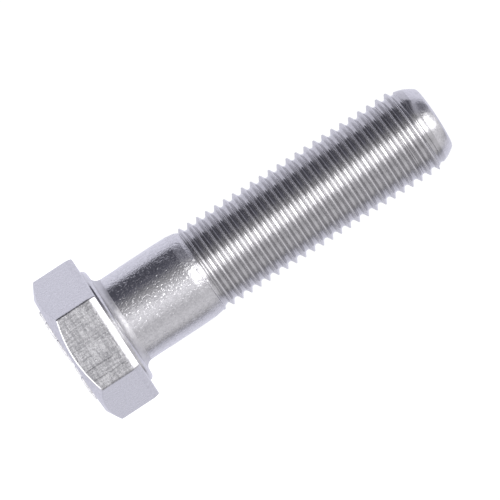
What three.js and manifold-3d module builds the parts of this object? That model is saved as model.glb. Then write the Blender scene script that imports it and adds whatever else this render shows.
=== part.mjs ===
// Hex bolt, M22 x 2.5, standing on its head. Millimetres, +Z along the bolt towards its point.
// One forged and rolled piece: hex head with raised marks, washer face, plain shank, thread, point.
import * as THREE from "three";
import { mergeVertices } from "three/addons/utils/BufferGeometryUtils.js";
import Module from "manifold-3d";

// Thread: 60 degree flanks between a narrow crest and a rounded root
const THREAD_D = 21.9;
const PITCH = 2.5;
const CREST_WIDTH = 0.26;
const ROOT_ROUND = 0.7;
const ROOT_REACH = ROOT_ROUND * Math.cos(Math.PI / 6);
const ROOT_RISE = ROOT_ROUND / 2;
const FLANK_WIDTH = (PITCH - CREST_WIDTH) / 2 - ROOT_REACH;
const THREAD_DEPTH = FLANK_WIDTH * Math.tan(Math.PI / 3) + ROOT_RISE;
// Height of a crest above the head's underside where the helix crosses the +X side.
const CREST_AT_X = 34.94;

// Shank, its gentle taper and the neck before the thread, measured from the head's underside
const LENGTH = 88.4;
const SHANK_D = 22.2;
const SHANK_LENGTH = 15.5;
const TAPER_D = 22.04;
const TAPER_END = 19.6;
const NECK_D = 21.36;
const NECK_START = 21.9;
const NECK_END = 24.6;
const CREST_FULL = 24.1;
const FILLET_R = 1.8;

// Point: a cone of 27 degrees to the bolt's axis, then a slightly crowned end that is flat in its middle
const POINT_D = 16;
const POINT_ANGLE = (27 * Math.PI) / 180;
const END_CROWN = 0.35;
const END_FLAT_D = 8;

// Head
const ACROSS_FLATS = 33.2;
const HEAD_HEIGHT = 13.7;
const TOP_CIRCLE_D = 31;
const TOP_CHAMFER = Math.PI / 6;
const TRIM_HEIGHT = 1.6;
const TRIM_INSET = 0.2;
const WASHER_FACE_H = 1.1;
const WASHER_FACE_D = 30;
const WASHER_FACE_EDGE = 0.25;
const WASHER_FACE_TOP_D = 28.3;

// Raised marks on the head's top, all in one plane
const MARK_H = 0.7;
const MARK_SIZE = [4.3, 4.6];
const MARK_SINK = 0.5;
const MARK_ROWS = [
  { y: 4.2, x: [-10, -5.2, -0.4, 5.1, 9.9] },
  { y: -4.2, x: [-7.6, -2.8, 7.5] },
];

// Facets around the bolt and along its fillet
const ROUND_STEPS = 60;
const THREAD_STEPS = 30;
const FILLET_STEPS = 4;

// How far the pieces of the one body run into each other, and how far the thread's bounds stand clear of it
const OVERLAP = 0.3;
const SEAT = 1;
const CLEARANCE = 0.4;
const NECK_INSET = 0.05;

const HEAD_TOP_Z = MARK_H;
const UNDERSIDE_Z = MARK_H + HEAD_HEIGHT;
const HEX_END_Z = UNDERSIDE_Z - WASHER_FACE_H;
const END_Z = UNDERSIDE_Z + LENGTH;
const THREAD_R = THREAD_D / 2;
const SHANK_R = SHANK_D / 2;
const ROOT_R = THREAD_R - THREAD_DEPTH;
const CORE_R = ROOT_R - OVERLAP;
const CORE_END_Z = UNDERSIDE_Z + NECK_END + PITCH;

const wasm = await Module();
wasm.setup();

function solid(geometry) {
  const bare = geometry.clone();
  bare.deleteAttribute("normal");
  bare.deleteAttribute("uv");
  const merged = mergeVertices(bare, 1e-4);
  return new wasm.Manifold(
    new wasm.Mesh({
      numProp: 3,
      vertProperties: merged.attributes.position.array,
      triVerts: new Uint32Array(merged.index.array),
    }),
  );
}

function geometryOf(manifold) {
  const mesh = manifold.getMesh();
  const geometry = new THREE.BufferGeometry();
  geometry.setAttribute("position", new THREE.BufferAttribute(mesh.vertProperties, 3));
  geometry.setIndex(new THREE.BufferAttribute(mesh.triVerts, 1));
  const flat = geometry.toNonIndexed();
  flat.computeVertexNormals();
  return flat;
}

// A solid of revolution about +Z from [radius, height] pairs listed from low to high.
function turned(profile) {
  const points = profile.map(([r, z]) => new THREE.Vector2(r, z));
  const geometry = new THREE.LatheGeometry(points, ROUND_STEPS);
  geometry.rotateX(Math.PI / 2);
  return solid(geometry);
}

// The hexagon with flats facing -Y and +Y, tapering over its last stretch where the die trimmed it.
function hexBody() {
  const corner = (flats) => flats / 2 / Math.cos(Math.PI / 6);
  const low = HEAD_TOP_Z;
  const trim = HEX_END_Z - TRIM_HEIGHT;
  const prism = new THREE.CylinderGeometry(corner(ACROSS_FLATS), corner(ACROSS_FLATS), trim - low, 6);
  prism.rotateX(Math.PI / 2);
  prism.rotateZ(Math.PI / 6 + Math.PI / 3);
  prism.translate(0, 0, (low + trim) / 2);
  const tapered = corner(ACROSS_FLATS - 2 * TRIM_INSET);
  const band = new THREE.CylinderGeometry(tapered, corner(ACROSS_FLATS), TRIM_HEIGHT, 6);
  band.rotateX(Math.PI / 2);
  band.rotateZ(Math.PI / 6 + Math.PI / 3);
  band.translate(0, 0, trim + TRIM_HEIGHT / 2);
  return solid(prism).add(solid(band));
}

// The head: the hexagon cut by a 30 degree chamfer cone at its top.
function head() {
  const reach = ACROSS_FLATS / 4;
  const cone = turned([
    [0, HEAD_TOP_Z],
    [TOP_CIRCLE_D / 2, HEAD_TOP_Z],
    [TOP_CIRCLE_D / 2 + reach, HEAD_TOP_Z + reach * Math.tan(TOP_CHAMFER)],
    [TOP_CIRCLE_D / 2 + reach, UNDERSIDE_Z],
    [0, UNDERSIDE_Z],
  ]);
  return hexBody().intersect(cone);
}

// Plain raised blocks on the head's top.
function marks() {
  let all = null;
  for (const row of MARK_ROWS) {
    for (const x of row.x) {
      const block = new THREE.BoxGeometry(MARK_SIZE[0], MARK_SIZE[1], MARK_H + MARK_SINK);
      block.translate(x, row.y, (MARK_H + MARK_SINK) / 2);
      all = all ? all.add(solid(block)) : solid(block);
    }
  }
  return all;
}

// Washer face, fillet, shank, the cone that runs down to the thread's root, and the core.
function core() {
  const profile = [
    [0, HEX_END_Z - SEAT],
    [WASHER_FACE_D / 2, HEX_END_Z - SEAT],
    [WASHER_FACE_D / 2, HEX_END_Z + WASHER_FACE_EDGE],
    [WASHER_FACE_TOP_D / 2, UNDERSIDE_Z],
    [SHANK_R + FILLET_R, UNDERSIDE_Z],
  ];
  for (let i = 1; i <= FILLET_STEPS; i++) {
    const a = ((Math.PI / 2) * i) / FILLET_STEPS;
    profile.push([
      SHANK_R + FILLET_R * (1 - Math.sin(a)),
      UNDERSIDE_Z + FILLET_R * (1 - Math.cos(a)),
    ]);
  }
  profile.push([SHANK_R, UNDERSIDE_Z + SHANK_LENGTH]);
  profile.push([TAPER_D / 2, UNDERSIDE_Z + TAPER_END]);
  profile.push([NECK_D / 2, UNDERSIDE_Z + NECK_START]);
  profile.push([CORE_R, UNDERSIDE_Z + NECK_END]);
  profile.push([CORE_R, CORE_END_Z]);
  profile.push([0, CORE_END_Z]);
  return turned(profile);
}

// What bounds the thread from outside: the crests rise from the neck, and the point's cone cuts them.
function threadEnvelope() {
  const neck = NECK_D / 2 - NECK_INSET;
  const clear = THREAD_R + CLEARANCE;
  const point_z = END_Z - END_CROWN;
  const cone_length = (clear - POINT_D / 2) / Math.tan(POINT_ANGLE);
  return turned([
    [0, UNDERSIDE_Z + NECK_START - PITCH],
    [neck, UNDERSIDE_Z + NECK_START - PITCH],
    [neck, UNDERSIDE_Z + NECK_START],
    [THREAD_R, UNDERSIDE_Z + CREST_FULL],
    [clear, UNDERSIDE_Z + CREST_FULL + PITCH],
    [clear, point_z - cone_length],
    [POINT_D / 2, point_z],
    [END_FLAT_D / 2, END_Z],
    [0, END_Z],
  ]);
}

// A right-hand helical rod: each pitch has a crest, a flank, a root of two slopes and a flank.
function threadRod() {
  const step_rise = PITCH / THREAD_STEPS;
  const first_turn = Math.floor((NECK_START - PITCH / 2 - CREST_AT_X) / PITCH);
  const turns = Math.ceil((LENGTH - CREST_AT_X) / PITCH) + 1 - first_turn;
  const steps = turns * THREAD_STEPS;
  const start = UNDERSIDE_Z + CREST_AT_X + first_turn * PITCH;
  const section = [
    [-CREST_WIDTH / 2, THREAD_R],
    [CREST_WIDTH / 2, THREAD_R],
    [PITCH / 2 - ROOT_REACH, ROOT_R + ROOT_RISE],
    [PITCH / 2, ROOT_R],
    [PITCH / 2 + ROOT_REACH, ROOT_R + ROOT_RISE],
  ];
  const positions = [];
  for (let i = 0; i <= steps + THREAD_STEPS; i++) {
    const angle = (2 * Math.PI * i) / THREAD_STEPS;
    for (const [rise, radius] of section) {
      positions.push(radius * Math.cos(angle), radius * Math.sin(angle), start + i * step_rise + rise);
    }
  }
  const count = section.length;
  const at = (i, j) => (j < count ? i * count + j : (i + THREAD_STEPS) * count + (j - count));
  const indices = [];
  for (let i = 0; i < steps; i++) {
    for (let j = 0; j < count; j++) {
      indices.push(at(i, j), at(i + 1, j), at(i + 1, j + 1));
      indices.push(at(i, j), at(i + 1, j + 1), at(i, j + 1));
    }
  }
  const low = positions.length / 3;
  positions.push(0, 0, start - PITCH);
  const high = low + 1;
  positions.push(0, 0, start + (steps + THREAD_STEPS) * step_rise + PITCH);
  for (let i = 0; i < THREAD_STEPS; i++) {
    indices.push(low, at(i + 1, 0), at(i, 0));
    indices.push(high, at(steps + i, 0), at(steps + i + 1, 0));
  }
  for (let j = 0; j < count; j++) {
    indices.push(low, at(0, j), at(0, j + 1));
    indices.push(high, at(steps, j + 1), at(steps, j));
  }
  const geometry = new THREE.BufferGeometry();
  geometry.setAttribute("position", new THREE.Float32BufferAttribute(positions, 3));
  geometry.setIndex(indices);
  return solid(geometry);
}

const body = head()
  .add(marks())
  .add(core())
  .add(threadRod().intersect(threadEnvelope()));

const steel = new THREE.MeshStandardMaterial({ color: 0xc4c4cc, roughness: 0.3, metalness: 1 });
const bolt = new THREE.Mesh(geometryOf(body), steel);
bolt.name = "hex_bolt";

const group = new THREE.Group();
group.name = "hex_bolt_part";
group.add(bolt);

export default group;
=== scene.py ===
"""Looks of the hex bolt: one forged and rolled piece of bright steel, standing on its head.

The bolt is rebuilt as one fine mesh round its axis, a list of rings from the middle of the head's top
out over the head, along the shank and thread, and in to the middle of the point's end.
Lengths below are in millimetres until the mesh is made; the scene itself is in metres.
"""

import math

import bpy
import numpy as np
from mathutils import Matrix, Vector


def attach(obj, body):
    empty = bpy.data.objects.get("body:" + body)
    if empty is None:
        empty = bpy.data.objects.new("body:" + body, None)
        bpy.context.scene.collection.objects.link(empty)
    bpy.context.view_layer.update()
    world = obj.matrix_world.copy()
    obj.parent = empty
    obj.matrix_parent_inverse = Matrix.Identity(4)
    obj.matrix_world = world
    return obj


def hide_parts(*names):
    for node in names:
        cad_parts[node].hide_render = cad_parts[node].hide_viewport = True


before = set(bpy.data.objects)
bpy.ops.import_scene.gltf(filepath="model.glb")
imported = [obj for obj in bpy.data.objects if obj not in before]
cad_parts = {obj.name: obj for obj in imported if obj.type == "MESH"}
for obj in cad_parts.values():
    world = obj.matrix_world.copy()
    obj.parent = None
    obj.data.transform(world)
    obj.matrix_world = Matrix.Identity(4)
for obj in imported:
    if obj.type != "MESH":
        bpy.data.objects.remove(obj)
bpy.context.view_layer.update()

MM = 0.001

# Sizes of the bolt, the same as the CAD part's
THREAD_R = 10.95
PITCH = 2.5
ROOT_ROUND = 0.7
CREST_HALF = 0.06
CREST_ROUND = 0.12
UNDERSIDE = 14.4
LENGTH = 88.4
END = UNDERSIDE + LENGTH
CREST_AT_X = UNDERSIDE + 34.94
SHANK_R = 11.1
SHANK_END = UNDERSIDE + 15.5
TAPER_R = 11.02
TAPER_END = UNDERSIDE + 19.6
NECK = UNDERSIDE + 21.9
NECK_R = 10.68
NECK_END = UNDERSIDE + 24.6
CREST_FULL = UNDERSIDE + 24.1
FILLET = 1.8
RUNOUT_R = 9.4
POINT_R = 8.235
POINT_RIM = END - 1.0
POINT_ANGLE = math.radians(36)
POINT_SLOPE = math.tan(POINT_ANGLE)
POINT_BOW = 0.066
POINT_REACH = 5.0
END_ROUND = 1.4
END_SLOPE = math.radians(82)
HALF_FLATS = 16.6
TOP = 0.7
TOP_R = 15.5
TOP_EASE = 0.12
CHAMFER = math.radians(30)
EDGE_ROUND = 0.36
HEX_END = UNDERSIDE - 1.1
TRIM = 1.6
TRIM_INSET = 0.2
TRIM_SLOPE = TRIM_INSET / TRIM
HEX_END_ROUND = 0.3
WASHER_R = 15.0
WASHER_TOP_R = 14.15
CORNER_ROUND = 0.5
CORNER_R = 19.0
MARK_EASE = 0.3
MARK_SINK = 0.4
MARK_CORNER = 0.15
MARK_SIZE = (4.3, 4.6)
MARK_ROWS = ((4.2, (-10, -5.2, -0.4, 5.1, 9.9)), (-4.2, (-7.6, -2.8, 7.5)))

# Columns of vertices round the shaft, and the rows of vertices in one pitch where the thread fades
ROUND_COLUMNS = 144
FINE_ROWS = 25

# A radius beyond every surface, for stretches that nothing bounds
FAR = 99.0


def smooth(a, b, x):
    """0 before a, 1 after b and an S-curve between them."""
    t = np.clip((x - a) / (b - a), 0.0, 1.0)
    return t * t * (3 - 2 * t)


def slope_between(a, b, x, soft=0.2):
    """0 before a, 1 after b and nearly straight between them, with soft ends."""
    t = np.clip((x - a) / (b - a), 0.0, 1.0)
    steep = 1 / (1 - soft)
    straight = steep * (t - soft / 2)
    rise = steep * t**2 / (2 * soft)
    level_off = 1 - steep * (1 - t) ** 2 / (2 * soft)
    return np.where(t < soft, rise, np.where(t > 1 - soft, level_off, straight))


# ---------------------------------------------------------------- thread

SQRT3 = math.sqrt(3)


def crest_profile(u):
    """Radius at a distance u along the axis from the middle of a crest, for |u| up to half a pitch."""
    u = np.abs(u)
    line = THREAD_R + CREST_ROUND - SQRT3 * (u - CREST_HALF)
    flank_from = CREST_HALF + CREST_ROUND * SQRT3 / 2
    off = np.clip(u - CREST_HALF, 0, CREST_ROUND * SQRT3 / 2)
    crest = THREAD_R - CREST_ROUND + np.sqrt(CREST_ROUND**2 - off**2)
    from_root = PITCH / 2 - u
    arc_half = ROOT_ROUND * SQRT3 / 2
    root_r = THREAD_R + CREST_ROUND - SQRT3 * (PITCH / 2 - CREST_HALF) + ROOT_ROUND
    near = np.clip(from_root, 0, arc_half)
    root = root_r + ROOT_ROUND - np.sqrt(ROOT_ROUND**2 - near**2)
    return np.where(u < flank_from, crest, np.where(from_root < arc_half, root, line))


def shaft_radius(angle, z):
    """Radius of the shank, neck, thread and point at an angle and height, both arrays or numbers."""
    crest_z = CREST_AT_X + PITCH * angle / (2 * math.pi)
    u = (z - crest_z + PITCH / 2) % PITCH - PITCH / 2
    thread = crest_profile(u)
    runout = NECK_R - (z - NECK) * (NECK_R - RUNOUT_R) / (NECK_END - NECK)
    shank = SHANK_R - (SHANK_R - TAPER_R) * smooth(SHANK_END, TAPER_END, z)
    shank = shank - (TAPER_R - NECK_R) * slope_between(TAPER_END - 0.1, NECK + 0.2, z)
    body = np.where(z < NECK, shank, np.maximum(thread, runout))
    rise = NECK_R + (THREAD_R + 0.01 - NECK_R) * smooth(NECK - 0.3, CREST_FULL, z)
    body = np.minimum(body, np.where(z < NECK, FAR, rise))
    back = np.maximum(POINT_RIM - z, 0.0)
    cone = POINT_R + back * POINT_SLOPE - POINT_BOW * back**2
    return np.minimum(body, np.where(back < POINT_REACH, cone, FAR))


# ---------------------------------------------------------------- mesh builder


class Shell:
    """A closed surface built ring by ring. A ring is the list of its vertices in order of angle."""

    def __init__(self):
        self.points = []
        self.faces = []
        self.kinds = []

    def ring(self, angles, radii, heights):
        first = len(self.points)
        count = len(angles)
        for a, r, z in zip(angles, np.broadcast_to(radii, count), np.broadcast_to(heights, count)):
            self.points.append((r * math.cos(a), r * math.sin(a), float(z)))
        return list(range(first, len(self.points)))

    def add(self, face, kind):
        self.faces.append(face)
        self.kinds.append(kind)

    def join(self, low, high, kind):
        """Quads between two rings with the same number of vertices."""
        n = len(low)
        for i in range(n):
            j = (i + 1) % n
            self.add((low[i], low[j], high[j], high[i]), kind)

    def stitch(self, low, high, low_angles, high_angles, kind):
        """Triangles between two rings with different numbers of vertices, both starting near angle 0."""
        i = j = 0
        n, m = len(low), len(high)
        a = list(low_angles) + [low_angles[0] + 2 * math.pi]
        b = list(high_angles) + [high_angles[0] + 2 * math.pi]
        while i < n or j < m:
            if j == m or (i < n and a[i + 1] <= b[j + 1]):
                self.add((low[i], low[(i + 1) % n], high[j % m]), kind)
                i += 1
            else:
                self.add((low[i % n], high[(j + 1) % m], high[j]), kind)
                j += 1

    def fan(self, ring, centre, kind, up):
        """Triangles from a ring to its middle; up is True where the face looks along +Z."""
        n = len(ring)
        for i in range(n):
            j = (i + 1) % n
            self.add((ring[i], ring[j], centre) if up else (ring[j], ring[i], centre), kind)

    def columns(self, left, right, heights_left, heights_right, rough_below):
        """Triangles between two upright columns of vertices, matched by height. They are rough steel
        below rough_below and thread above it."""
        i = j = 0
        while i < len(left) - 1 or j < len(right) - 1:
            take_left = j == len(right) - 1 or (
                i < len(left) - 1 and heights_left[i + 1] <= heights_right[j + 1]
            )
            kind = ROUGH if heights_left[i] < rough_below else THREAD
            if take_left:
                self.add((left[i], right[j], left[i + 1]), kind)
                i += 1
            else:
                self.add((left[i], right[j], right[j + 1]), kind)
                j += 1


# ---------------------------------------------------------------- head

FLATS, TURNED, SHANK, ROUGH, THREAD, DULL = range(6)


def head_angles():
    """Columns close together at the hexagon's rounded corners, wider apart across its flats."""
    reach = math.degrees(math.atan2(CORNER_ROUND * math.tan(math.pi / 6), CORNER_R)) * 1.15
    near = [30 - reach * k / 4 for k in range(1, 5)] + [28.3, 26.5]
    across = list(np.arange(-25, 25.1, 5.0))
    half = sorted([-x for x in near] + across + near)
    angles = []
    for side in range(6):
        middle = 30 + 60 * side
        angles.append(middle - 30)
        angles.extend(middle + x for x in half)
    return np.radians(np.array(sorted(a % 360 for a in angles)))


def hex_radius(angles, half_flats, corner_round):
    """Distance from the axis to the rounded hexagon with flats facing +Y and -Y."""
    off = np.abs(angles % (math.pi / 3) - math.pi / 6)
    flat = half_flats / np.cos(off)
    to_corner = math.pi / 6 - off
    centre = (half_flats - corner_round) / math.cos(math.pi / 6)
    inside = np.clip(corner_round**2 - (centre * np.sin(to_corner)) ** 2, 0, None)
    arc = centre * np.cos(to_corner) + np.sqrt(inside)
    return np.where(centre * np.sin(to_corner) < corner_round * 0.5, np.minimum(flat, arc), flat)


def build_head(shell):
    """From the middle of the head's top to the underside, where the shank begins."""
    angles = head_angles()

    def circle(r, z):
        return shell.ring(angles, r, z)

    centre = len(shell.points)
    shell.points.append((0.0, 0.0, TOP))
    ring = circle(4, TOP)
    shell.fan(ring, centre, DULL, up=False)
    for r in (8.0, 12.0, 14.5, TOP_R - 0.14):
        new = circle(r, TOP)
        shell.join(new, ring, DULL)
        ring = new
    for r, z in ((TOP_R, TOP + 0.02), (TOP_R + TOP_EASE, TOP + 0.075)):
        new = circle(r, z)
        shell.join(new, ring, TURNED)
        ring = new

    full = hex_radius(angles, HALF_FLATS, CORNER_ROUND)
    edge = TOP + (full - TOP_R) * math.tan(CHAMFER)
    tangent = EDGE_ROUND * math.tan(CHAMFER)
    chamfer_from = TOP_R + TOP_EASE
    chamfer_to = full - tangent * math.cos(CHAMFER)
    for share in (0.35, 0.75, 0.92):
        r = chamfer_from + (chamfer_to - chamfer_from) * share
        new = shell.ring(angles, r, TOP + (r - TOP_R) * math.tan(CHAMFER))
        shell.join(new, ring, TURNED)
        ring = new
    for turn in (-60, -45, -30, -15, 0):
        a = math.radians(turn)
        r = full - EDGE_ROUND + EDGE_ROUND * math.cos(a)
        z = edge + tangent + EDGE_ROUND * math.sin(a)
        new = shell.ring(angles, r, z)
        shell.join(new, ring, TURNED)
        ring = new

    trim_from = HEX_END - TRIM
    flat_from = edge + tangent + 0.25
    flat_to = trim_from - 0.3
    trim_to = HEX_END - HEX_END_ROUND

    def side_ring(half_flats, z):
        return shell.ring(angles, hex_radius(angles, half_flats, CORNER_ROUND), z)

    for share in (0.0, 0.3, 0.6, 0.9):
        new = shell.ring(angles, full, flat_from + (flat_to - flat_from) * share)
        shell.join(new, ring, FLATS)
        ring = new
    for z, inset in (
        (trim_from - 0.12, 0.0),
        (trim_from, 0.005),
        (trim_from + 0.12, 0.12 * TRIM_SLOPE),
        (trim_to - 0.2, (TRIM - HEX_END_ROUND - 0.2) * TRIM_SLOPE),
    ):
        new = side_ring(HALF_FLATS - inset, z)
        shell.join(new, ring, TURNED if inset else FLATS)
        ring = new
    for turn in (0, 30, 60, 90):
        a = math.radians(turn)
        half_flats = HALF_FLATS - TRIM_INSET - HEX_END_ROUND * (1 - math.cos(a))
        new = side_ring(half_flats, trim_to + HEX_END_ROUND * math.sin(a))
        shell.join(new, ring, TURNED)
        ring = new
    last = hex_radius(angles, HALF_FLATS - TRIM_INSET - HEX_END_ROUND, CORNER_ROUND)
    for share in (0.12, 0.6):
        new = shell.ring(angles, last + (WASHER_R + 0.25 - last) * share, HEX_END)
        shell.join(new, ring, TURNED)
        ring = new
    outline = [
        (WASHER_R + 0.06, HEX_END),
        (WASHER_R, HEX_END + 0.02),
        (WASHER_R, HEX_END + 0.06),
        (WASHER_R, HEX_END + 0.38),
        (WASHER_R, HEX_END + 0.42),
        (WASHER_R - 0.05, HEX_END + 0.47),
        (WASHER_R - 0.36, HEX_END + 0.8),
        (WASHER_TOP_R + 0.22, UNDERSIDE - 0.12),
        (WASHER_TOP_R + 0.05, UNDERSIDE - 0.03),
        (WASHER_TOP_R - 0.15, UNDERSIDE),
        (WASHER_TOP_R - 0.5, UNDERSIDE),
    ]
    for r, z in outline:
        new = circle(r, z)
        shell.join(new, ring, TURNED)
        ring = new
    return ring, angles


def build_shaft(shell, ring, ring_angles):
    """From the underside along the shank and thread to the middle of the point's end."""
    n = ROUND_COLUMNS
    angles = np.arange(n) * 2 * math.pi / n

    new = shell.ring(angles, SHANK_R + FILLET + 0.15, UNDERSIDE)
    shell.stitch(ring, new, ring_angles, angles, TURNED)
    ring = new
    for turn in (0, 15, 30, 45, 60, 75, 90):
        a = math.radians(turn)
        r = SHANK_R + FILLET * (1 - math.sin(a))
        new = shell.ring(angles, r, UNDERSIDE + FILLET * (1 - math.cos(a)))
        shell.join(ring, new, DULL)
        ring = new
    for z in (UNDERSIDE + FILLET + 0.3, UNDERSIDE + 4, UNDERSIDE + 9, SHANK_END - 0.6):
        new = shell.ring(angles, SHANK_R, z)
        shell.join(ring, new, SHANK)
        ring = new
    thread_from = NECK - 1.2
    for z in np.linspace(SHANK_END, thread_from, 15):
        new = shell.ring(angles, shaft_radius(angles, np.full(n, z)), z)
        shell.join(ring, new, SHANK if z < TAPER_END else ROUGH)
        ring = new

    thread_to = POINT_RIM - 2.5
    coarse = crest_rows(fine=False)
    fine = crest_rows(fine=True)
    lowest = math.floor((thread_from - CREST_AT_X) / PITCH) - 2
    highest = math.ceil((thread_to - CREST_AT_X) / PITCH) + 1
    rows = []
    for k in range(lowest, highest + 1):
        middle = CREST_AT_X + k * PITCH
        at_end = middle > thread_to - 3.2 * PITCH or middle < CREST_FULL + 0.6 * PITCH
        rows.extend(middle + u for u in (fine if at_end else coarse))
    rows = np.array(sorted(rows))
    top = []
    columns = []
    for i in range(n):
        z = rows + PITCH * i / n
        z = z[(z > thread_from + 0.03) & (z < thread_to - 0.03)]
        r = shaft_radius(np.full(len(z), angles[i]), z)
        first = len(shell.points)
        for radius, height in zip(r, z):
            shell.points.append((radius * math.cos(angles[i]), radius * math.sin(angles[i]), float(height)))
        body = list(range(first, len(shell.points)))
        end_r = float(shaft_radius(angles[i], thread_to))
        shell.points.append((end_r * math.cos(angles[i]), end_r * math.sin(angles[i]), thread_to))
        top.append(len(shell.points) - 1)
        columns.append(([ring[i]] + body + [top[-1]], [thread_from] + list(z) + [thread_to]))
    for i in range(n):
        left, heights_left = columns[i]
        right, heights_right = columns[(i + 1) % n]
        shell.columns(left, right, heights_left, heights_right, NECK + 0.9)
    ring = top

    centre_r = POINT_R - END_ROUND * math.cos(POINT_ANGLE)
    centre_z = POINT_RIM - END_ROUND * math.sin(POINT_ANGLE)
    for z in np.linspace(thread_to, POINT_RIM, 8)[1:-1]:
        new = shell.ring(angles, shaft_radius(angles, np.full(n, z)), z)
        shell.join(ring, new, TURNED)
        ring = new
    for a in np.linspace(POINT_ANGLE, END_SLOPE, 7):
        new = shell.ring(angles, centre_r + END_ROUND * math.cos(a), centre_z + END_ROUND * math.sin(a))
        shell.join(ring, new, TURNED)
        ring = new
    rim_r = centre_r + END_ROUND * math.cos(END_SLOPE)
    rim_z = centre_z + END_ROUND * math.sin(END_SLOPE)
    for share in (0.85, 0.6, 0.3):
        new = shell.ring(angles, rim_r * share, END - (END - rim_z) * share**2)
        shell.join(ring, new, TURNED)
        ring = new
    shell.points.append((0.0, 0.0, END))
    shell.fan(ring, len(shell.points) - 1, TURNED, up=True)


def crest_rows(fine):
    """Distances from a crest's middle at which the thread's rows lie, over one pitch."""
    if fine:
        return [PITCH * (k / FINE_ROWS - 0.5) for k in range(FINE_ROWS)]
    flank_from = CREST_HALF + CREST_ROUND * SQRT3 / 2
    crest = [CREST_HALF * 0.95, CREST_HALF + CREST_ROUND * 0.5, flank_from]
    root = [PITCH / 2 - ROOT_ROUND * math.sin(math.radians(a)) for a in (62, 48, 32, 16)]
    half = crest + root
    return [-x for x in half] + half + [PITCH / 2]


def add_marks(shell):
    """Plain raised blocks with eased edges on the head's top, sunk a little into it."""
    hx, hy = MARK_SIZE[0] / 2, MARK_SIZE[1] / 2
    for y, xs in MARK_ROWS:
        for x in xs:
            rings = []
            for inset, z in ((0, TOP + MARK_SINK), (0, MARK_EASE), (0.05, 0.1), (0.2, 0.0)):
                ring = []
                for cx, cy, start in ((1, 1, 0), (-1, 1, 90), (-1, -1, 180), (1, -1, 270)):
                    for turn in (0, 30, 60, 90):
                        a = math.radians(start + turn)
                        px = x + cx * (hx - inset - MARK_CORNER) + MARK_CORNER * math.cos(a)
                        py = y + cy * (hy - inset - MARK_CORNER) + MARK_CORNER * math.sin(a)
                        shell.points.append((px, py, z))
                        ring.append(len(shell.points) - 1)
                rings.append(ring)
            for upper, lower in zip(rings, rings[1:]):
                shell.join(lower, upper, DULL)
            shell.add(tuple(reversed(rings[-1])), DULL)
            shell.add(tuple(rings[0]), DULL)


def build_bolt():
    shell = Shell()
    ring, angles = build_head(shell)
    build_shaft(shell, ring, angles)
    add_marks(shell)
    mesh = bpy.data.meshes.new("bolt")
    mesh.from_pydata([tuple(c * MM for c in p) for p in shell.points], [], shell.faces)
    mesh.validate()
    mesh.polygons.foreach_set("use_smooth", [True] * len(mesh.polygons))
    mesh.polygons.foreach_set("material_index", shell.kinds)
    mesh.update()
    bolt = bpy.data.objects.new("bolt", mesh)
    bpy.context.scene.collection.objects.link(bolt)
    return bolt


# ---------------------------------------------------------------- steel


class Graph:
    """Short calls for making and joining shader nodes."""

    def __init__(self, tree):
        self.tree = tree
        self.nodes = tree.nodes
        self.links = tree.links

    def node(self, kind, **settings):
        made = self.nodes.new(kind)
        for name, value in settings.items():
            setattr(made, name, value)
        return made

    def plug(self, source, socket):
        if isinstance(source, (int, float, tuple)):
            socket.default_value = source
        else:
            self.links.new(source, socket)

    def math(self, operation, a, b=0.0, c=0.0):
        made = self.node("ShaderNodeMath", operation=operation)
        for value, socket in zip((a, b, c), made.inputs):
            self.plug(value, socket)
        return made.outputs[0]

    def span(self, value, low, high, out_low=0.0, out_high=1.0):
        made = self.node("ShaderNodeMapRange", interpolation_type="SMOOTHSTEP")
        for source, socket in zip((value, low, high, out_low, out_high), made.inputs):
            self.plug(source, socket)
        return made.outputs[0]

    def noise(self, vector, scale, detail=2.0, rough=0.6):
        made = self.node("ShaderNodeTexNoise")
        self.plug(vector, made.inputs["Vector"])
        made.inputs["Scale"].default_value = scale
        made.inputs["Detail"].default_value = detail
        made.inputs["Roughness"].default_value = rough
        made.inputs["Distortion"].default_value = 0.0
        return made.outputs["Fac"]

    def scaled(self, vector, scale):
        made = self.node("ShaderNodeMapping")
        self.plug(vector, made.inputs["Vector"])
        made.inputs["Scale"].default_value = scale
        return made.outputs[0]

    def mix(self, factor, a, b):
        made = self.node("ShaderNodeMix", data_type="RGBA")
        self.plug(factor, made.inputs[0])
        self.plug(a, made.inputs[6])
        self.plug(b, made.inputs[7])
        return made.outputs[2]

    def ramp(self, value, stops):
        made = self.node("ShaderNodeValToRGB")
        self.plug(value, made.inputs[0])
        elements = made.color_ramp.elements
        while len(elements) > 1:
            elements.remove(elements[-1])
        elements[0].position, elements[0].color = stops[0][0], (*stops[0][1], 1)
        for place, colour in stops[1:]:
            elements.new(place).color = (*colour, 1)
        return made.outputs[0]


def toned(g, patch, light, dark, light_share, dark_share):
    """The cloudy colour with its light and dark parts scaled."""
    return g.mix(patch, (*(c * dark_share for c in dark), 1), (*(c * light_share for c in light), 1))


def add_painted_flank_light(g, place, patch, light, dark, rough):
    """Painted light and shade on the thread: flanks that face the head get a brighter colour than the rest,
    and the crests a lighter one, a painted highlight. Those flanks and the crests are also rougher.
    """
    leaning = g.node("ShaderNodeSeparateXYZ")
    g.plug(g.node("ShaderNodeNewGeometry").outputs["Normal"], leaning.inputs[0])
    toward_point = g.span(leaning.outputs["Z"], -0.8, -0.4)
    level = g.node("ShaderNodeVectorMath", operation="LENGTH")
    g.plug(g.scaled(place, (1.0, 1.0, 0.0)), level.inputs[0])
    crests = g.span(level.outputs["Value"], (THREAD_R - 0.16) * MM, (THREAD_R - 0.06) * MM)
    # Lit and shaded copies of the flank colour: painted light on the flanks facing the head, painted shade
    # on the rest
    bright = toned(g, patch, light, dark, 1.18, 1.18)
    dull = toned(g, patch, light, dark, 0.93, 0.93)
    colour = g.mix(toward_point, bright, dull)
    # Lighter colour on the crests: a painted highlight
    colour = g.mix(crests, colour, (*(c * 1.08 for c in light), 1))
    rough = g.math("MULTIPLY", rough, g.math("MULTIPLY_ADD", toward_point, -1.8, 2.8))
    return colour, g.math("MULTIPLY_ADD", crests, 0.14, rough)


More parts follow.
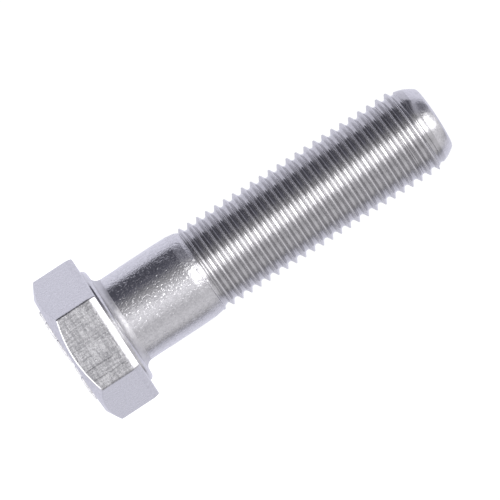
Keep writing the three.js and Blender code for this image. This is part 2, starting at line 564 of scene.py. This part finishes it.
def add_flat_shade_and_grain(g, place, patch, light, dark, colour, height):
    """The front and back flats get a darker colour than the other four, a painted shade, with a woven grain
    and a few scores.
    """
    split = g.node("ShaderNodeSeparateXYZ")
    g.plug(place, split.inputs[0])
    front = g.span(g.math("ABSOLUTE", split.outputs["Y"]), (HALF_FLATS - 0.6) * MM, (HALF_FLATS - 0.1) * MM)
    # Painted shade: the front and back flats get a darker colour than the other four
    colour = g.mix(front, colour, toned(g, patch, light, dark, 0.78, 0.56))
    lengthwise = g.noise(g.scaled(place, (1.0, 1.0, 0.08)), 2300.0)
    crosswise = g.noise(g.scaled(place, (0.12, 1.0, 1.0)), 1600.0)
    woven = g.math("ADD", lengthwise, crosswise)
    woven = g.math("MULTIPLY", g.math("SUBTRACT", woven, 1.0), front)
    height = g.math("ADD", height, g.math("MULTIPLY", woven, 1.2))
    dirt = g.math("MULTIPLY", g.span(woven, -0.2, 0.2, 0.55, 0.0), front)
    colour = g.mix(dirt, colour, (0.17, 0.17, 0.18, 1))
    scores = g.math("MULTIPLY", scored_lines(g, place, split.outputs["X"]), front)
    colour = g.mix(g.math("MULTIPLY", scores, 0.55), colour, (0.16, 0.16, 0.17, 1))
    return colour, g.math("SUBTRACT", height, g.math("MULTIPLY", scores, 0.8))


def steel(
    name,
    light,
    dark,
    rough,
    grain,
    grain_size,
    cloud_size=1300.0,
    pits=0.0,
    flat_shade_and_grain=False,
    painted_flank_light=False,
):
    """Bright steel: a cloudy colour between light and dark, uneven roughness and a fine grain, whose
    height is given in metres. pits is how deep small dents are, as a share of the grain."""
    material = bpy.data.materials.new(name)
    material.use_nodes = True
    g = Graph(material.node_tree)
    shader = material.node_tree.nodes["Principled BSDF"]
    shader.inputs["Metallic"].default_value = 1.0
    place = g.node("ShaderNodeTexCoord").outputs["Object"]
    cloud = g.noise(place, cloud_size, detail=4.0, rough=0.75)
    fine = g.noise(place, grain_size)
    patch = g.span(cloud, 0.35, 0.65)
    colour = g.mix(patch, (*dark, 1), (*light, 1))
    height = g.math("ADD", fine, g.math("MULTIPLY", cloud, 0.5))
    wander = g.math("MULTIPLY_ADD", fine, rough * 0.7, rough * 0.65)
    wander = g.math("ADD", wander, g.math("MULTIPLY", patch, rough * 0.2))
    if pits:
        dents = g.span(g.noise(g.scaled(place, (1.0, 1.0, 0.8)), 2000.0, detail=1.0), 0.56, 0.72)
        height = g.math("SUBTRACT", height, g.math("MULTIPLY", dents, pits))
    # Painted light and shade on the thread's flanks and a painted highlight on its crests
    if painted_flank_light:
        colour, wander = add_painted_flank_light(g, place, patch, light, dark, wander)
    # Painted shade on the front and back flats, with their woven grain and scores
    if flat_shade_and_grain:
        colour, height = add_flat_shade_and_grain(g, place, patch, light, dark, colour, height)
    g.plug(colour, shader.inputs["Base Color"])
    g.plug(wander, shader.inputs["Roughness"])
    bump = g.node("ShaderNodeBump")
    bump.inputs["Strength"].default_value = 1.0
    bump.inputs["Distance"].default_value = grain
    g.plug(height, bump.inputs["Height"])
    g.plug(bump.outputs[0], shader.inputs["Normal"])
    return material


# Where the scores lie across a flat, in metres from its middle, and how deep each is
SCORES = ((0.0043, 1.0), (0.00694, 0.7))


def scored_lines(g, place, x):
    """Thin broken scores along the bolt at two distances across a flat."""
    sway = g.noise(place, 160.0, detail=2.0)
    broken = g.span(g.noise(place, 330.0, detail=2.0), 0.36, 0.5)
    wavy = g.math("MULTIPLY_ADD", sway, 0.0005, g.math("SUBTRACT", x, 0.00025))
    both = None
    for middle, depth in SCORES:
        off = g.math("ABSOLUTE", g.math("SUBTRACT", wavy, middle))
        line = g.span(off, 0.00003, 0.00016, depth, 0.0)
        both = line if both is None else g.math("MAXIMUM", both, line)
    return g.math("MULTIPLY", both, broken)


bolt = build_bolt()
LIGHT = (0.66, 0.655, 0.67)
DARK = (0.56, 0.555, 0.57)
FLAT_LIGHT = (0.71, 0.705, 0.72)
FLAT_DARK = (0.63, 0.625, 0.64)
THREAD_LIGHT = (0.57, 0.565, 0.575)
THREAD_DARK = (0.48, 0.475, 0.485)
for material in (
    steel("steel_flats", FLAT_LIGHT, FLAT_DARK, 0.26, 0.00005, 1700, cloud_size=2300.0, flat_shade_and_grain=True),
    steel("steel_turned", LIGHT, DARK, 0.2, 0.00003, 1700),
    steel("steel_shank", LIGHT, DARK, 0.07, 0.00004, 2600, pits=0.7),
    steel("steel_rough", LIGHT, DARK, 0.2, 0.00011, 1500),
    steel("steel_thread", THREAD_LIGHT, THREAD_DARK, 0.12, 0.000015, 2200, painted_flank_light=True),
    steel("steel_dull", LIGHT, DARK, 0.45, 0.00003, 1300),
):
    bolt.data.materials.append(material)

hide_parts("hex_bolt")
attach(bolt, "root")


# ---------------------------------------------------------------- camera

# The camera stands a little on the head's side of the bolt and a little aside of the front flat.
# The bolt's axis rises in the frame at AXIS_SLOPE.
CAMERA_DISTANCE = 1003.7348
CAMERA_LENS = 309.6
SENSOR = 36.0
AXIS_TILT = math.radians(1.45)
FACET_TURN = math.radians(3.7)
AXIS_SLOPE = math.radians(33.25)
MIDDLE_Z = 49.29
MIDDLE_ASIDE = 2.355

toward_level = Vector((math.sin(-FACET_TURN), -math.cos(FACET_TURN), 0))
toward = (toward_level * math.cos(AXIS_TILT) - Vector((0, 0, 1)) * math.sin(AXIS_TILT)).normalized()
along = (Vector((0, 0, 1)) - toward * toward.z).normalized()
across = along.cross(toward)
right = along * math.cos(AXIS_SLOPE) + across * math.sin(AXIS_SLOPE)
up = along * math.sin(AXIS_SLOPE) - across * math.cos(AXIS_SLOPE)
target = (Vector((0, 0, MIDDLE_Z)) + across * MIDDLE_ASIDE) * MM
camera_data = bpy.data.cameras.new("camera")
camera_data.sensor_width = SENSOR
camera_data.lens = CAMERA_LENS
camera_data.clip_start = 0.05
camera_data.clip_end = 50
camera = bpy.data.objects.new("camera", camera_data)
bpy.context.scene.collection.objects.link(camera)
turn = Matrix((right, up, toward)).transposed()
camera.matrix_world = Matrix.Translation(target + toward * CAMERA_DISTANCE * MM) @ turn.to_4x4()
bpy.context.scene.camera = camera


# ---------------------------------------------------------------- studio


# Half the floor's width and its gap to the bolt, in metres
FLOOR = 8.0
FLOOR_GAP = 0.00005


def build_floor():
    """A pale floor just under the head, which glossy surfaces don't reflect."""
    mesh = bpy.data.meshes.new("floor")
    corners = [(-FLOOR, -FLOOR, 0), (FLOOR, -FLOOR, 0), (FLOOR, FLOOR, 0), (-FLOOR, FLOOR, 0)]
    mesh.from_pydata(corners, [], [(0, 1, 2, 3)])
    floor = bpy.data.objects.new("floor", mesh)
    floor.location.z = -FLOOR_GAP
    bpy.context.scene.collection.objects.link(floor)
    material = bpy.data.materials.new("paper")
    material.use_nodes = True
    shader = material.node_tree.nodes["Principled BSDF"]
    shader.inputs["Base Color"].default_value = (0.3, 0.3, 0.3, 1)
    shader.inputs["Roughness"].default_value = 1.0
    shader.inputs["Emission Color"].default_value = (1, 1, 1, 1)
    shader.inputs["Emission Strength"].default_value = 0.95
    mesh.materials.append(material)
    floor.visible_glossy = False


def build_world():
    """A surround for the steel to reflect: pale lilac all round, a dark flag to one side, and a tall bright
    strip near the front, broken at the middle. At some heights the flag gives way to the open side, so that
    the thread's flanks, the taper and the point reflect other tones than the shank does."""
    world = bpy.data.worlds.new("studio")
    bpy.context.scene.world = world
    world.use_nodes = True
    g = Graph(world.node_tree)
    g.nodes.clear()
    way = g.node("ShaderNodeTexCoord").outputs["Generated"]
    side_level = Vector((0, 0, 1)).cross(toward_level)

    def along_way(axis):
        made = g.node("ShaderNodeVectorMath", operation="DOT_PRODUCT")
        g.plug(way, made.inputs[0])
        made.inputs[1].default_value = axis
        return made.outputs["Value"]

    azimuth = g.math("ARCTAN2", along_way(side_level), along_way(toward_level))
    azimuth = g.math("MULTIPLY", azimuth, 180 / math.pi)
    height = g.math("MULTIPLY", g.math("ARCSINE", along_way(Vector((0, 0, 1)))), 180 / math.pi)
    facing = g.span(along_way(toward_level), -0.15, 0.05)
    aside = g.math("MULTIPLY", g.math("ARCSINE", along_way(side_level)), 180 / math.pi)
    spot = g.math("MULTIPLY_ADD", azimuth, 1 / 360, 0.5)

    lifted = g.math("MULTIPLY_ADD", height, 1 / 180, 0.5)

    # Rows below are an angle in degrees and a brightness or share
    def grey_stops(rows):
        return [((deg + 90) / 180, (share,) * 3) for deg, share in rows]

    def stops(rows):
        return [((deg + 180) / 360, tuple(c * level for c in tint)) for deg, level, tint in rows]

    lilac = (0.985, 0.985, 1.12)
    plain = (1.0, 0.99, 1.03)
    flag = (0.88, 0.88, 1.18)
    open_side = stops(
        [
            (-180, 0.9, lilac),
            (-110, 0.93, lilac),
            (-60, 0.9, lilac),
            (-20, 0.9, plain),
            (8, 1.12, plain),
            (38, 0.95, plain),
            (104, 0.9, plain),
            (140, 0.88, lilac),
            (180, 0.88, lilac),
        ]
    )
    with_flag = stops(
        [
            (-180, 0.88, lilac),
            (-125, 0.93, lilac),
            (-102, 0.85, lilac),
            (-98, 0.65, lilac),
            (-94.5, 0.07, flag),
            (-62, 0.06, flag),
            (-50, 0.1, flag),
            (-31, 0.32, plain),
            (-11, 0.64, plain),
            (4, 0.92, plain),
            (15, 1.08, plain),
            (33, 0.88, plain),
            (44, 0.66, plain),
            (56, 0.66, plain),
            (72, 0.84, plain),
            (88, 0.78, plain),
            (96, 0.62, plain),
            (104, 0.36, plain),
            (110, 0.42, lilac),
            (124, 0.8, lilac),
            (140, 0.88, lilac),
            (180, 0.88, lilac),
        ]
    )
    # How much the open side shows through at each height
    clear = [
        (-80, 1.0),
        (-62, 0.5),
        (-48, 0.25),
        (-25, 0.05),
        (7, 0.05),
        (12, 0.3),
        (23, 0.3),
        (27, 0.05),
        (30, 0.05),
        (37, 0.65),
        (42, 0.65),
        (47, 0.15),
        (60, 0.1),
        (82, 1.0),
    ]
    raised = g.ramp(lifted, grey_stops(clear))
    around = g.mix(raised, g.ramp(spot, with_flag), g.ramp(spot, open_side))
    near = g.math("ABSOLUTE", g.math("SUBTRACT", aside, 2.0))
    strip_side = g.span(near, 8, 24, 1.0, 0.0)
    # Heights that the bright strip covers
    strip_height = [
        (-76, 0),
        (-64, 1),
        (-18, 1),
        (-10, 0),
        (10, 0),
        (18, 1),
        (38, 1),
        (43, 0.1),
        (49, 0.1),
        (53, 1),
        (60, 1),
        (67, 0),
    ]
    strip_tall = g.ramp(lifted, grey_stops(strip_height))
    strip = g.math("MULTIPLY", g.math("MULTIPLY", strip_side, strip_tall), facing)
    lit = g.mix(strip, around, (1, 1, 1, 1))
    strength = g.math("MULTIPLY_ADD", strip, 2.6, 1.05)
    seen = g.node("ShaderNodeLightPath").outputs["Is Camera Ray"]
    studio = g.node("ShaderNodeBackground")
    g.plug(lit, studio.inputs[0])
    g.plug(strength, studio.inputs[1])
    paper = g.node("ShaderNodeBackground")
    paper.inputs[0].default_value = (1, 1, 1, 1)
    paper.inputs[1].default_value = 1.05
    both = g.node("ShaderNodeMixShader")
    g.plug(seen, both.inputs[0])
    g.plug(studio.outputs[0], both.inputs[1])
    g.plug(paper.outputs[0], both.inputs[2])
    out = g.node("ShaderNodeOutputWorld")
    g.plug(both.outputs[0], out.inputs[0])


build_floor()
build_world()
bpy.context.scene.view_settings.view_transform = "Standard"
